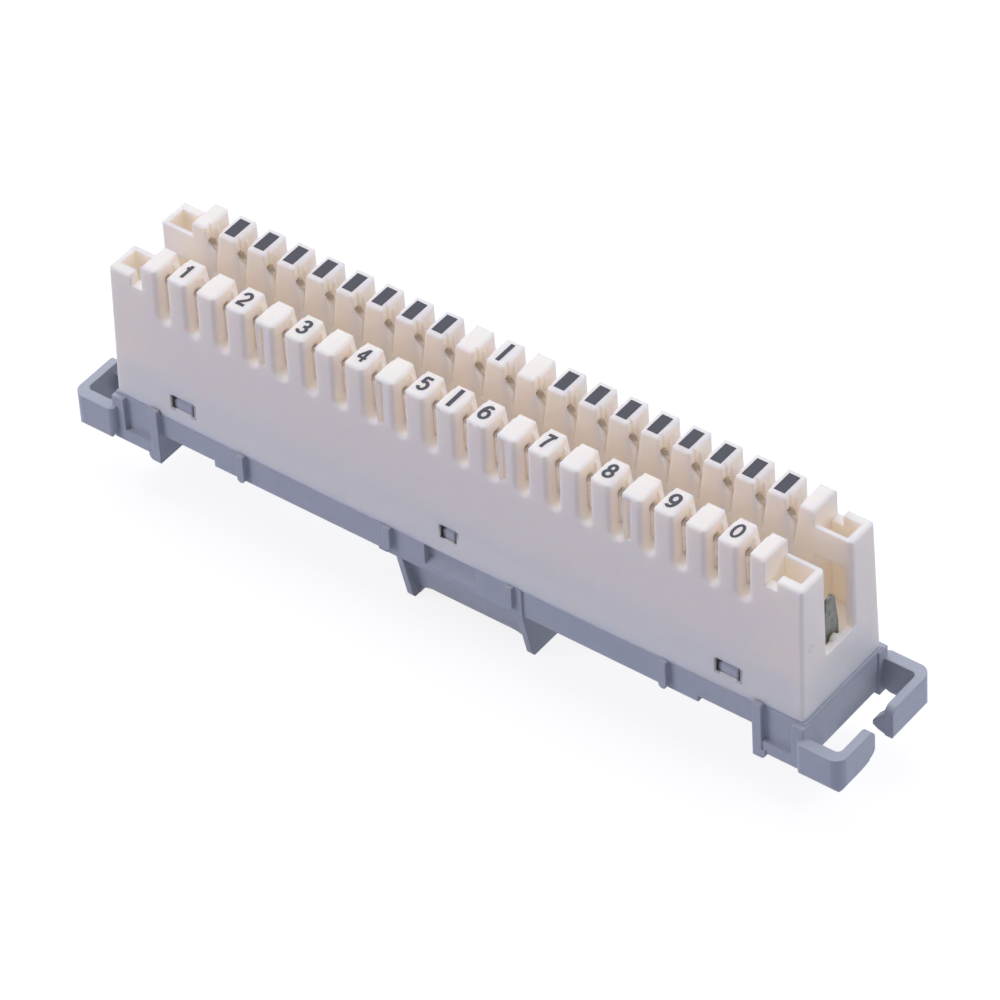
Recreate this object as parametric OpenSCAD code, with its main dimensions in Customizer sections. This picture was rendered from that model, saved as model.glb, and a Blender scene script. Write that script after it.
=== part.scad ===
// Ten-pair insulation-displacement wiring block with a disconnect channel.
// A white housing with two rows of fingers stands on a clip-on base with cable hooks.
// Twenty contacts stand in each row: each has a fork at 45 degrees in its wire slot and
// a spring blade that meets its partner of the other row below the channel.
// Heights in the modules count from the lower edge of the housing's end walls.

/* [Rows and fingers] */
// Number of wire slots in one row
slots = 20; // [4:2:20]
// Distance between neighbouring wire slots
pitch = 4.92; // [4.8:0.01:5.2]
// Width of a wire slot
slot_w = 1.82; // [1.5:0.01:2]
// Height of the finger tops above the housing's lower edge
finger_h = 24.5; // [24:0.1:27]
// Height of a wire slot's floor at the outer face
slot_floor_h = 16.35; // [15.8:0.05:17]
// Width of the two end fingers
end_finger_w = 2.45; // [2:0.05:3]
// Rounding of the finger tops
finger_round = 0.55; // [0.3:0.05:0.7]
// Rounding of the slot mouths on the outer face
mouth_round = 0.75; // [0.4:0.05:0.9]

/* [Housing] */
// Depth of the housing at its lower edge
housing_w = 17.3; // [16.6:0.05:18]
// Draft of the long faces in degrees
draft = 1.8; // [1:0.05:2]
// Draft of the end faces in degrees
end_draft = 0.8; // [0.4:0.05:1.2]
// Rounding of the four upright corners
corner_round = 0.6; // [0.4:0.1:1.2]
// Width of the disconnect channel between the rows
channel_w = 5.7; // [5.2:0.1:6.2]
// Thickness of the side walls round the lower cavity
side_wall = 1.45; // [1.2:0.05:1.6]
// Thickness of the end walls
end_wall = 1.35; // [1.1:0.05:1.6]
// Height of the end sections' rim
end_rim_h = 21.95; // [21:0.05:22.5]
// Length of an end pocket along the block
end_pocket_l = 4.65; // [4:0.05:5.5]
// Depth of an end pocket across the block
end_pocket_w = 3; // [2.5:0.1:3.4]
// Thickness of the web between an end pocket and the channel
pocket_web = 0.65; // [0.4:0.05:0.9]
// Height at which that web ends above the end bay
pocket_web_h = 17.3; // [15:0.1:18.5]
// Length of the notch in an end pocket's outer wall
notch_l = 1.9; // [1:0.1:2.5]
// Depth of that notch
notch_d = 1.65; // [0.8:0.05:2.5]
// Height of the end windows' sill
sill_h = 7.55; // [7.3:0.05:8.5]
// Height of the end bay's floor
bay_floor_h = 7; // [6.5:0.1:7.5]
// Height of the ceiling over the base's rim
cavity_h = 5.6; // [5.4:0.1:6]
// Drop of the skirt between the lugs
skirt_drop = 0.3; // [0.2:0.1:0.8]
// How far the skirt's bow stands out at mid-length
skirt_bow = 0.3; // [0.2:0.02:0.4]
// Height where the bow starts at mid-length
bow_h = 4.1; // [3:0.1:5]
// Height where the bow starts beside the lugs
bow_end_h = 0.9; // [0.4:0.1:1.6]

/* [Finger grooves] */
// Fingers from one marked groove to the next
groove_every = 4; // [2:1:5]
// Width of a groove
groove_w = 1.05; // [0.6:0.05:1.2]
// Depth of a groove
groove_d = 0.7; // [0.4:0.05:0.9]
// Height of a groove's lower end
groove_h = 17; // [16.5:0.1:18]
// Distance of a groove's upper end below the finger tops
groove_top = 0.65; // [0.4:0.05:1.5]

/* [Snap windows] */
// Length of the outer snap windows
snap_l = 3.8; // [3:0.1:5]
// Length of the middle snap window
snap_mid_l = 2.7; // [2:0.1:3.5]
// Lower edge of the snap windows
snap_low = 2; // [1.8:0.1:2.4]
// Height of the snap windows
snap_h = 2.2; // [1.8:0.1:2.6]
// Distance from the housing's end to the middle of an outer snap window
snap_inset = 11.6; // [10.8:0.1:12.6]

/* [Contacts] */
// Thickness of the contact sheet
sheet_t = 0.4; // [0.3:0.05:0.5]
// Distance of the contact row from the middle of the block
contact_y = 4.5; // [4.5:0.05:4.8]
// Width of a contact's fork
fork_w = 3.2; // [3:0.1:3.6]
// Depth of the fork tips below the finger tops
fork_drop = 2.2; // [1.8:0.1:2.6]
// Height of the fork's shoulders above the cavity's ceiling
shoulder_rise = 5.4; // [5:0.1:6]
// Width of the slit that cuts the insulation
slit_w = 0.34; // [0.2:0.02:0.5]
// Width of a contact's spring blade
blade_w = 2.6; // [2:0.1:3]
// Height at which two blades meet
meet_h = 9.4; // [8.8:0.1:10]
// Gap between two blades at rest
blade_gap = 0.06; // [0.04:0.02:0.2]
// Clearance round a contact in its pocket
pocket_fit = 0.08; // [0.08:0.02:0.2]
// Width of an earth tongue
tongue_w = 3.3; // [2.8:0.1:3.6]
// Height of an earth tongue
tongue_h = 14.5; // [13:0.1:15.5]
// Length of an earth tongue's taper
tongue_taper = 5.5; // [4:0.1:6]

/* [Base] */
// Height of the housing's lower edge above the foot's resting plane
seat_z = 15.7; // [14.5:0.1:18]
// How far the base's side walls stand out past the housing's lower edge
base_step = 0.05; // [0.05:0.05:0.2]
// Thickness of the deck under the housing
deck_t = 1.8; // [1.4:0.1:2.2]
// Thickness of the base's walls
base_wall = 1.2; // [1:0.1:1.4]
// Drop of the side walls between the centre and the lugs
wall_drop = 5.1; // [4.8:0.1:5.6]
// Drop of the side walls beside the lugs
wall_end_drop = 4.1; // [3.9:0.1:4.6]
// Length of the side walls' raised edge beside a lug
wall_end_l = 9; // [6:0.5:12]
// Drop of the side walls over the foot
wall_mid_drop = 5.4; // [5:0.1:5.8]
// Clearance between the base's rim and the housing
rim_fit = 0.1; // [0.06:0.02:0.2]
// Height of the base's rim inside the housing
rim_h = 5; // [4.6:0.1:5.2]
// How far the lugs and ribs stand out past the side walls
lug_step = 0.8; // [0.6:0.05:1]
// Distance from the housing's end to a lug's inner face
lug_inset = 7.4; // [7:0.1:8]
// Thickness of a lug
lug_t = 1.4; // [1.2:0.1:1.8]
// Drop of the lugs
lug_drop = 8.7; // [8.2:0.1:9.4]
// Top of the ledge between a lug and its hook
ledge_drop = 5.7; // [5.2:0.1:6.2]
// Thickness of that ledge
ledge_t = 2; // [1.4:0.1:2.4]
// Drop of the end plates between the hooks' arms
plate_drop = 6.6; // [6:0.1:7.4]
// Width of the ribs
rib_t = 1.2; // [0.9:0.1:1.5]
// Distance from a lug to the next rib
rib_inset = 14.7; // [11:0.1:18]
// Half length of the recess over the foot
recess_half = 4.2; // [3:0.1:6]

/* [Hooks] */
// How far the hooks reach past the base's end plates
hook_reach = 6.45; // [6:0.05:8]
// How far the hooks stand out past the lugs
hook_step = 0.9; // [0.6:0.05:1.2]
// Thickness of a hook's outer bar
hook_bar = 1.25; // [1:0.05:1.6]
// Thickness of a hook's arms
hook_arm = 1.75; // [1.4:0.05:2]
// Drop of a hook's top
hook_drop = 2.1; // [1.6:0.05:2.6]
// Height of a hook
hook_h = 5.65; // [4.8:0.05:6]
// Outer rounding of a hook
hook_round = 1.9; // [1.4:0.1:2.6]
// Side of the mouth with the plain tip, from the middle
mouth_plain = 2.6; // [2.4:0.05:4]
// Side of the mouth with the lipped tip, from the middle
mouth_lip = 1.35; // [0.8:0.05:2.5]
// How far the lip reaches inward
lip_reach = 1.9; // [1:0.1:2.4]
// How far the plain tip's lower edge rises toward the mouth
tip_rise = 1.4; // [0.2:0.1:1.6]

/* [Foot] */
// Distance between the inner faces of the legs
foot_gap = 18.8; // [16:0.1:21]
// Thickness of a leg
leg_t = 1; // [0.8:0.1:1.4]
// Length of a leg's sole across the block
sole_w = 10.8; // [8:0.1:12]
// How far a leg's upper end runs into the side walls
leg_bite = 0.1; // [0.05:0.05:0.8]
// Set-back of the webs behind the legs' edges
web_set = 1.25; // [0.8:0.05:1.8]
// Thickness of the webs
web_t = 1; // [0.8:0.1:1.4]
// Drop of the webs' lower edges
web_drop = 13.4; // [11:0.1:13.6]
// Radius of the arcs between web and leg
web_arc = 2.9; // [1.5:0.1:3.2]

/* [Hidden] */
$fn = 48;
ivory = [0.93, 0.92, 0.88];
blue_grey = [0.56, 0.59, 0.67];
silver = [0.72, 0.74, 0.70];
over = 1;        // how far a cutting body runs past the face that it opens
soft = 0.02;     // share of a rounding that runs past the two faces it joins
lap = 0.2;       // how far one body sinks into the body that carries it
lean = tan(draft);
end_lean = tan(end_draft);

// Housing: places along the block
last_slot = (slots - 1) / 2 * pitch;
finger_end = last_slot + slot_w / 2 + end_finger_w;
pocket_end = finger_end + end_pocket_l;
housing_half = pocket_end + end_wall;
lug_fit = 0.1;
lug_x = housing_half - lug_inset;
snap_x = housing_half - snap_inset;
skirt_half = lug_x - lug_fit;
// Housing: places across the block
half_w = housing_w / 2;
channel_half = channel_w / 2;
pocket_in = channel_half + pocket_web;
pocket_out = pocket_in + end_pocket_w;
cavity_half = half_w - side_wall;
cavity_end = housing_half - side_wall;
funnel_y = channel_half + 1.05;
funnel_half = slot_w / 2 + 0.15;
funnel_drop = 1.7;
cell_in = channel_half + 0.75;
cell_out = contact_y * 2 - cell_in + 0.1;
cell_w = 3.4;
fork_h = finger_h - fork_drop;
shoulder_h = cavity_h + shoulder_rise;
cell_h = shoulder_h + 3.6;
// Contacts
pocket_half = fork_w / 2 + pocket_fit;
pocket_h = fork_h + pocket_fit;
stem_w = 1.8;
clamp_r = 0.27;
clamp_shift = 0.54;
clamp_h = finger_h - 1.35;
clamp_low = slot_floor_h + 0.6;
tongue_x = pocket_end - 0.3 - sheet_t;
// Base
deck_top = -skirt_drop;
deck_low = deck_top - deck_t;
rim_half = cavity_half - rim_fit;
rim_end = cavity_end - rim_fit;
end_step = 0.3;
base_end = housing_half + end_step;
base_y = half_w + base_step;
lug_y = base_y + lug_step;
hook_y = lug_y + hook_step;
post_y = lug_y - 0.15;
post_drop = 0.35;
end_drop = ledge_drop + ledge_t;
post_l = base_end - pocket_end + lap / 2;
rib_x = lug_x - rib_inset;
hook_half = base_end + hook_reach;
hook_low = -hook_drop - hook_h;
hook_edge = 1.2;
lip_rise = 0.4;
root_round = 0.9;
tip_round = 1.4;
tip_low_round = 1.2;
start_round = 2;
leg_x = foot_gap / 2;
recess_low = -wall_mid_drop + 1.2;
leg_top = base_y - base_wall + leg_bite;
leg_lean = (leg_top - sole_w / 2) / (seat_z - wall_mid_drop);

function contact_name(row, i) = str("contact_", row, i < 10 ? "_0" : "_", i);
function slot_x(i) = (i - (slots + 1) / 2) * pitch;
function face_y(h) = half_w - h * lean;
function end_x(h) = housing_half - h * end_lean;
function ease_step(t) = let (c = min(max(t, 0), 1)) c * c * (3 - 2 * c);

// Copies of a feature turned half round: the block looks the same from both sides
module twice() {
    children();
    rotate([0, 0, 180]) children();
}

// Copies of a feature at both ends and on both sides
module four_times() {
    for (mx = [0, 1], my = [0, 1]) mirror([mx, 0, 0]) mirror([0, my, 0]) children();
}

// Prism of an outline drawn across the block (Y, Z), from x0 to x1
module along_x(x0, x1) {
    translate([x0, 0, 0]) rotate([90, 0, 90]) linear_extrude(x1 - x0) children();
}

// Prism of an outline drawn along the block (X, Z), from y0 to y1
module along_y(y0, y1) {
    translate([0, y1, 0]) rotate([90, 0, 0]) linear_extrude(y1 - y0) children();
}

module block(x0, x1, y0, y1, z0, z1) {
    translate([x0, y0, z0]) cube([x1 - x0, y1 - y0, z1 - z0]);
}

// What is taken off an outline's corner at the origin, its material below and left
module ease(r) {
    c = r * (1 - soft);
    difference() {
        translate([-c, -c]) square(c + over);
        translate([-c, -c]) circle(r);
    }
}

// Plain outer form of the housing: drafted on all sides, with its end sections lower
module housing_side_outline() {
    difference() {
        polygon([
            [-skirt_half, deck_top], [skirt_half, deck_top], [skirt_half, 0], [housing_half, 0],
            [end_x(end_rim_h), end_rim_h], [finger_end, end_rim_h], [finger_end, finger_h],
            [-finger_end, finger_h], [-finger_end, end_rim_h], [-end_x(end_rim_h), end_rim_h],
            [-housing_half, 0], [-skirt_half, 0]
        ]);
        for (m = [0, 1]) mirror([m, 0]) {
            translate([finger_end, finger_h]) ease(finger_round);
            translate([end_x(end_rim_h), end_rim_h]) ease(finger_round);
        }
    }
}

module housing_cross_outline() {
    difference() {
        polygon([
            [-face_y(deck_top), deck_top], [face_y(deck_top), deck_top],
            [face_y(finger_h), finger_h], [-face_y(finger_h), finger_h]
        ]);
        for (m = [0, 1]) mirror([m, 0]) translate([face_y(finger_h), finger_h]) ease(finger_round);
    }
}

// The skirt's shallow bow: a leaning prism whose plan is a parabola
module skirt_bow_body() {
    rise = bow_h + skirt_drop;
    bow_lean = atan(skirt_bow / rise);
    sag = skirt_bow * (bow_h - bow_end_h) / rise;
    root = side_wall - skirt_bow;
    steps = 14;
    intersection() {
        translate([0, face_y(bow_h), bow_h]) rotate([draft + bow_lean, 0, 0])
            translate([0, 0, -2 * rise]) linear_extrude(2 * rise + over) polygon(concat(
                [for (k = [-steps:steps]) [k / steps * skirt_half, -sag * pow(k / steps, 2)]],
                [[skirt_half, -root], [-skirt_half, -root]]
            ));
        block(-skirt_half, skirt_half, 0, housing_w, deck_top, bow_h + over / 2);
    }
}

module housing_outer() {
    intersection() {
        along_y(-housing_w, housing_w) housing_side_outline();
        along_x(-housing_half - over, housing_half + over) housing_cross_outline();
    }
    twice() skirt_bow_body();
}

// Roundings of the outer form: upright corners and the long edges of the end sections
module outer_roundings() {
    four_times() {
        translate([housing_half, half_w, 0]) rotate([draft, -end_draft, 0]) translate([0, 0, -over])
            linear_extrude(end_rim_h + 2 * over) ease(corner_round);
        translate([0, face_y(end_rim_h), end_rim_h]) along_x(finger_end, housing_half + over)
            ease(finger_round);
    }
}

// Channel between the rows, with eased upper edges, and the bays at its two ends
module channel() {
    along_x(-finger_end, finger_end) {
        translate([-channel_half, 0]) square([channel_w, finger_h + over]);
        for (m = [0, 1]) mirror([m, 0]) translate([channel_half, finger_h]) mirror([1, 0])
            ease(finger_round);
    }
    for (m = [0, 1]) mirror([m, 0, 0]) {
        block(finger_end - lap, pocket_end, -channel_half, channel_half, bay_floor_h, finger_h + over);
        block(finger_end, pocket_end, -pocket_out, pocket_out, bay_floor_h, pocket_web_h);
        end_window();
    }
}

// Window in an end wall: open at the top, its sill level, its jambs eased
module end_window() {
    jamb = 0.8;
    block(pocket_end - over, housing_half + over, -channel_half, channel_half, sill_h, finger_h + over);
    for (m = [0, 1]) mirror([0, m, 0]) translate([housing_half, channel_half, 0])
        rotate([0, -end_draft, 0]) translate([0, 0, sill_h + lap / 2]) linear_extrude(end_rim_h - sill_h + over)
            mirror([0, 1]) ease(jamb);
}

module end_pockets() {
    four_times() {
        block(finger_end, pocket_end, pocket_in, pocket_out, pocket_web_h - over, end_rim_h + over);
        block(finger_end, finger_end + notch_l, pocket_out - over, housing_w, end_rim_h - notch_d,
            end_rim_h + over);
    }
}

// One wire slot of the back row as seen along Y: round floor and eased upper edges
module slot_outline() {
    r = slot_w / 2;
    translate([0, slot_floor_h + r]) circle(r);
    translate([-r, slot_floor_h + r]) square([slot_w, finger_h - slot_floor_h]);
    for (m = [0, 1]) mirror([m, 0]) translate([r, finger_h]) mirror([1, 0]) ease(finger_round);
}

// Inner end of a slot: a funnel that sweeps in from both sides to a narrow crack
module funnel_outline() {
    low = slot_floor_h + 1.05;
    high = finger_h - funnel_drop;
    steps = 7;
    crack_left = 0.05;
    crack_right = 0.28;
    turn_in = 0.42;
    polygon(concat(
        [for (k = [0:steps]) let (t = k / steps)
            [-crack_left - (funnel_half - crack_left) * ease_step((t - turn_in) / (1 - turn_in)),
                low + t * (high - low)]],
        [[-funnel_half, finger_h + over], [funnel_half, finger_h + over]],
        [for (k = [steps:-1:0]) let (t = k / steps)
            [crack_right + (funnel_half - crack_right) * pow(t, 1.3), low + t * (high - low)]]
    ));
    for (m = [0, 1]) mirror([m, 0]) translate([funnel_half, finger_h]) mirror([1, 0]) ease(finger_round);
}

// Rounding of the fingers' upright corners at the channel: it leans away and so fades out downwards
module inner_corners() {
    r = 0.6;
    lean_out = atan(0.44 * r / funnel_drop);
    for (m = [0, 1]) mirror([m, 0, 0]) translate([funnel_half, channel_half, finger_h])
        rotate(a = -lean_out, v = [1, -1, 0]) translate([0, 0, -funnel_drop])
            linear_extrude(funnel_drop + over) rotate(180) ease(r);
}

// Flared mouth of a slot on the outer face: eased edges that turn round the slot's floor
module slot_mouth() {
    r = slot_w / 2;
    rotate([draft, 0, 0]) translate([0, 0, slot_floor_h + r]) {
        linear_extrude(finger_h - slot_floor_h) for (m = [0, 1]) mirror([m, 0])
            translate([-r, 0]) ease(mouth_round);
        rotate([-90, 0, 0]) rotate_extrude(angle = 180) mirror([1, 0]) intersection() {
            translate([-r, 0]) ease(mouth_round);
            translate([-pitch, -over]) square([pitch, 3 * over]);
        }
    }
}

// Pocket that holds a contact: upright at 45 degrees, with a tear-shaped relief at its top
module contact_pocket() {
    translate([0, contact_y, cavity_h - over]) rotate([0, 0, 45])
        translate([-pocket_half, -sheet_t / 2 - pocket_fit, 0])
            cube([2 * pocket_half, sheet_t + 2 * pocket_fit, pocket_h - cavity_h + over]);
    relief_r = 0.6;
    relief_l = 2.6;
    relief_d = 0.35;
    shoulder = pocket_h - relief_r - lap;
    translate([0, contact_y + slot_w / 2, 0]) along_x(slot_w / 2 - lap / 2, slot_w / 2 + relief_d) {
        translate([0.05, pocket_h - relief_r]) circle(relief_r);
        polygon([[-0.5, shoulder], [0.6, shoulder], [-0.15, pocket_h - relief_l]]);
    }
}

module row_cuts() {
    for (i = [1:slots]) translate([slot_x(i), 0, 0]) {
        along_y(funnel_y, housing_w) slot_outline();
        along_y(channel_half - over, funnel_y + 0.05) funnel_outline();
        inner_corners();
        translate([0, half_w, 0]) slot_mouth();
        contact_pocket();
        block(-cell_w / 2, cell_w / 2, cell_in, cell_out, cavity_h - over, cell_h);
    }
    for (j = [groove_every:groove_every:slots - 1])
        translate([(j - slots / 2) * pitch, half_w, 0]) rotate([draft, 0, 0]) {
            block(0, groove_w, -groove_d, over, groove_h + groove_w / 2, finger_h - groove_top);
            translate([groove_w / 2, over, groove_h + groove_w / 2]) rotate([90, 0, 0])
                cylinder(d = groove_w, h = groove_d + over);
        }
}

// Clamp ribs that hold the wire on both sides of the fork
module clamp_ribs() {
    for (i = [1:slots], side = [-1, 1])
        translate([slot_x(i) + side * slot_w / 2, contact_y - side * clamp_shift, 0]) {
            translate([0, 0, clamp_low]) cylinder(r = clamp_r, h = clamp_h - clamp_low);
            translate([0, 0, clamp_h]) cylinder(r1 = clamp_r, r2 = clamp_r / 3, h = clamp_r);
        }
}

module snap_window(x, length) {
    block(x - length / 2, x + length / 2, cavity_half - over, housing_w, snap_low, snap_low + snap_h);
}

module housing() {
    color(ivory) translate([0, 0, seat_z]) {
        difference() {
            housing_outer();
            outer_roundings();
            block(-cavity_end, cavity_end, -cavity_half, cavity_half, deck_top - over, cavity_h);
            channel();
            end_pockets();
            twice() row_cuts();
            twice() for (x = [-snap_x, snap_x]) snap_window(x, snap_l);
            twice() snap_window(0, snap_mid_l);
            for (m = [0, 1]) mirror([m, 0, 0]) tongue_opening();
        }
        twice() clamp_ribs();
        for (m = [0, 1]) mirror([m, 0, 0]) sill_boss();
    }
}

// Opening in an end bay's floor for the earth tongue
module tongue_opening() {
    block(tongue_x - pocket_fit, tongue_x + sheet_t + pocket_fit, -tongue_w / 2 - pocket_fit,
        tongue_w / 2 + pocket_fit, cavity_h - over, bay_floor_h + over);
}

// Small round-topped boss behind the middle of a window's sill
module sill_boss() {
    r = 0.75;
    boss_t = 0.8;
    axis_h = sill_h - 0.15;
    set_back = 0.12;
    along_x(pocket_end - set_back, pocket_end - set_back + boss_t) {
        translate([0, axis_h]) circle(r);
        translate([-r, bay_floor_h - lap]) square([2 * r, axis_h - bay_floor_h + lap]);
    }
}

// ---- Base ----

// Side wall under the skirt, its lower edge stepped over the foot and beside the lugs
module wall_outline() {
    step_x = lug_x - wall_end_l;
    foot_x = leg_x + leg_t;
    polygon([
        [-lug_x, deck_top], [lug_x, deck_top], [lug_x, -wall_end_drop], [step_x, -wall_end_drop],
        [step_x, -wall_drop], [foot_x, -wall_drop], [foot_x, -wall_mid_drop], [-foot_x, -wall_mid_drop],
        [-foot_x, -wall_drop], [-step_x, -wall_drop], [-step_x, -wall_end_drop], [-lug_x, -wall_end_drop]
    ]);
}

// Recess over the foot: a flat back that runs out over a sloping ledge
module foot_recess() {
    depth = 1;
    along_x(-recess_half, recess_half) polygon([
        [base_y + over, recess_low], [base_y, recess_low], [base_y - depth, recess_low + depth],
        [base_y - depth, deck_top + over], [base_y + over, deck_top + over]
    ]);
}

module rib(x, drop) {
    along_y(base_y - lap, lug_y) {
        translate([x, -drop + rib_t / 2]) square([rib_t, drop - rib_t / 2 + deck_top]);
        translate([x + rib_t / 2, -drop + rib_t / 2]) circle(d = rib_t);
    }
}

module deck() {
    rib_rise = 0.2;
    pad_d = 0.25;
    block(-lug_x - lap / 2, lug_x + lap / 2, -base_y, base_y, deck_low, deck_top);
    for (m = [0, 1]) mirror([0, m, 0]) {
        along_y(base_y - base_wall, base_y) wall_outline();
        for (x = [-rib_x - rib_t, rib_x]) rib(x, wall_drop - rib_rise);
        for (x = [-leg_x - rib_t, leg_x]) rib(x, -recess_low);
    }
    four_times() block(leg_x + rib_t - lap, leg_x + 2 * rib_t, base_y - lap, base_y + pad_d,
        rib_rise - wall_mid_drop, deck_top);
}

// Rim inside the housing with the noses that snap into its windows
module rim() {
    rim_t = 1.1;
    nose_play = 0.5;
    difference() {
        block(-rim_end, rim_end, -rim_half, rim_half, deck_top - lap, rim_h);
        block(-rim_end + rim_t, rim_end - rim_t, -rim_half + rim_t, rim_half - rim_t, deck_top, rim_h + over);
    }
    twice() {
        for (x = [-snap_x, snap_x]) snap_nose(x, snap_l - nose_play);
        snap_nose(0, snap_mid_l - nose_play);
    }
}

module snap_nose(x, length) {
    nose_y = half_w - 0.3;
    nose_t = 1.2;
    low = snap_low + rim_fit;
    high = snap_low + snap_h + rim_fit;
    along_x(x - length / 2, x + length / 2) polygon([
        [rim_half - lap, low], [nose_y, low], [nose_y, low + nose_t], [rim_half, high], [rim_half - lap, high]
    ]);
}

// End section past a lug: seat of the housing's end, recessed walls, ledge, end plate, corner posts
module end_section() {
    block(lug_x, base_end, -half_w, half_w, deck_low, 0);
    block(pocket_end, base_end, -half_w, half_w, -plate_drop, 0);
    for (m = [0, 1]) mirror([0, m, 0]) {
        block(lug_x, base_end, half_w - base_wall, half_w, -end_drop, 0);
        block(lug_x + lap, base_end, half_w - base_wall, post_y, -end_drop, -ledge_drop);
        block(base_end - post_l, base_end + lap, half_w - base_wall, post_y, -end_drop, -post_drop);
    }
}

// Plate across the whole depth whose upper corners stand up beside the housing as lugs
module lug_plate() {
    lug_rise = 0.4;
    foot_l = 0.6;
    foot_t = 1.5;
    along_x(lug_x, lug_x + lug_t) difference() {
        translate([-lug_y, -lug_drop]) square([2 * lug_y, lug_drop + lug_rise]);
        translate([-half_w - lug_fit, deck_top]) square([2 * half_w + 2 * lug_fit, over - deck_top]);
    }
    along_y(-lug_y, lug_y) difference() {
        translate([lug_x, -lug_drop]) square([lug_t + foot_l, foot_t]);
        translate([lug_x + lug_t + foot_l, -lug_drop]) mirror([0, 1]) ease(root_round);
    }
}

// Open cable hook in plan: two arms and an outer bar
module hook_outline() {
    inner_r = 0.8;
    inner_end = hook_half - hook_bar;
    arm_in = hook_y - hook_arm;
    root = base_end - over / 2;
    difference() {
        translate([root, -hook_y]) square([hook_half - root, 2 * hook_y]);
        for (m = [0, 1]) mirror([0, m]) {
            translate([hook_half, hook_y]) ease(hook_round);
            translate([root, hook_y]) mirror([1, 0]) ease(root_round);
        }
        translate([root - over, -arm_in]) square([inner_end - inner_r - root + over, 2 * arm_in]);
        translate([root - over, -arm_in + inner_r])
            square([inner_end - root + over, 2 * (arm_in - inner_r)]);
        for (m = [-1, 1]) translate([inner_end - inner_r, m * (arm_in - inner_r)]) circle(inner_r);
    }
}

// Hook from its end: the lower edges rise to the mouth, both tips are rounded
module hook_end_outline() {
    flat = hook_y - hook_round;
    difference() {
        polygon([
            [-hook_y, -hook_drop], [-hook_y, hook_low], [-flat, hook_low],
            [-mouth_plain, hook_low + tip_rise], [-mouth_plain, -hook_drop]
        ]);
        translate([-mouth_plain, -hook_drop]) ease(tip_round);
        translate([-mouth_plain, hook_low + tip_rise]) mirror([0, 1]) ease(tip_low_round);
        translate([-hook_y, hook_low]) rotate(180) ease(hook_edge);
    }
    difference() {
        polygon([
            [hook_y, -hook_drop], [hook_y, hook_low], [flat, hook_low],
            [mouth_lip, hook_low + lip_rise], [mouth_lip, -hook_drop]
        ]);
        translate([mouth_lip, -hook_drop]) mirror([1, 0]) ease(tip_low_round);
        translate([mouth_lip, hook_low + lip_rise]) rotate(180) ease(hook_edge / 3);
        translate([hook_y, hook_low]) mirror([0, 1]) ease(hook_edge);
    }
}

// Hook from the side: rounded below, at its outer end and where its arms start
module hook_side_outline() {
    difference() {
        translate([base_end - over, hook_low - over / 2])
            square([hook_half - base_end + over, hook_h + over]);
        translate([base_end - 2 * over, hook_low - over]) square([hook_half - base_end + 3 * over, over]);
        translate([hook_half, hook_low]) mirror([0, 1]) ease(hook_edge);
        translate([base_end - over / 2, hook_low]) rotate(180) ease(start_round);
    }
}

module hook() {
    intersection() {
        translate([0, 0, hook_low - over / 2]) linear_extrude(hook_h + over) hook_outline();
        along_x(base_end - over, hook_half + over) hook_end_outline();
        along_y(-hook_y - over, hook_y + over) hook_side_outline();
    }
    hook_lip();
}

// Lip that curls inward from the tip across the mouth
module hook_lip() {
    root = hook_half - hook_bar + lap;
    tip = hook_half - hook_bar - lip_reach;
    set_back = 0.1;
    lip_t = 1.6;
    low = hook_low + lip_rise + 0.45;
    along_y(mouth_lip + set_back, mouth_lip + set_back + lip_t) polygon([
        [root, low - 0.2], [tip + 0.8, low + 0.2], [tip, low + 0.7], [tip, low + 1.4],
        [tip + 0.5, low + 2], [root, low + hook_h - 2]
    ]);
}

// Foot: two leg plates joined by webs that lean like the legs' edges
module leg_outline() {
    top_in = 0.4;
    sole_round = 0.5;
    difference() {
        polygon([
            [-sole_w / 2, -seat_z], [sole_w / 2, -seat_z], [leg_top, -wall_mid_drop],
            [leg_top - top_in, deck_low + lap], [top_in - leg_top, deck_low + lap], [-leg_top, -wall_mid_drop]
        ]);
        for (m = [0, 1]) mirror([m, 0]) translate([sole_w / 2, -seat_z]) mirror([0, 1]) ease(sole_round);
    }
}

module web_outline() {
    r = web_arc;
    difference() {
        translate([-leg_x - leg_t / 2, -seat_z]) square([2 * leg_x + leg_t, seat_z + deck_low + lap]);
        translate([-leg_x + r, -seat_z - over]) square([2 * (leg_x - r), seat_z - web_drop + over]);
        translate([-leg_x, -seat_z - over]) square([2 * leg_x, seat_z - web_drop + over - r]);
        for (m = [-1, 1]) translate([m * (leg_x - r), -web_drop - r]) circle(r);
    }
}

module web() {
    low_y = sole_w / 2 - web_set;
    high_y = low_y + leg_lean * (seat_z + deck_low + lap);
    intersection() {
        along_x(-leg_x - leg_t / 2, leg_x + leg_t / 2) polygon([
            [low_y - web_t, -seat_z], [low_y, -seat_z],
            [high_y, deck_low + lap], [high_y - web_t, deck_low + lap]
        ]);
        along_y(0, base_y) web_outline();
    }
}

module foot() {
    for (m = [0, 1]) mirror([m, 0, 0]) along_x(leg_x, leg_x + leg_t) leg_outline();
    twice() web();
}

module base() {
    color(blue_grey) translate([0, 0, seat_z]) {
        difference() {
            deck();
            twice() foot_recess();
        }
        rim();
        for (m = [0, 1]) mirror([m, 0, 0]) {
            end_section();
            lug_plate();
        }
        twice() hook();
        foot();
    }
}

// ---- Contacts ----

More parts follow.
